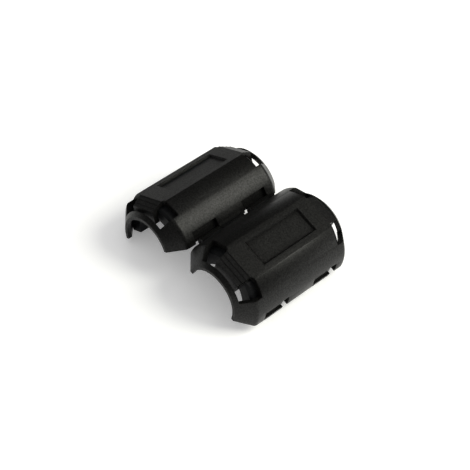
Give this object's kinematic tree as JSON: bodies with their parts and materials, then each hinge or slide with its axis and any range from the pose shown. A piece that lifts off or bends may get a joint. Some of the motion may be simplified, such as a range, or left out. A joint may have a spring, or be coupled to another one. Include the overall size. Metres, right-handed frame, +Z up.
{
  "type": "clip-on ferrite bead",
  "caption": "Hinged split case of black moulded plastic with a half-round ferrite core in each half; it snaps shut round a cable to damp radio noise, and lies open here.",
  "frame": {"origin": "middle of the open clip's footprint, on the surface that it lies on", "axes": "+Y along the hinge line and the cable, +X from the catch half to the hook half, +Z up"},
  "size_m": [0.0464, 0.036, 0.0173],
  "materials": {
    "moulded_nylon": "finely spark-eroded matte black",
    "ground_ferrite": "dark grey sintered and ground"
  },
  "bodies": {
    "catch_half": {"catch_case_half": "moulded_nylon", "catch_core_half": "ground_ferrite"},
    "hook_half": {"hook_case_half": "moulded_nylon", "hook_core_half": "ground_ferrite"}
  },
  "joints": [
    {"name": "case_hinge", "type": "hinge", "parent": "catch_half", "child": "hook_half", "pos_m": [-0.00021, 0, 0.00939], "axis": [0, 1, 0], "range_deg": [0, 138.8]}
  ]
}
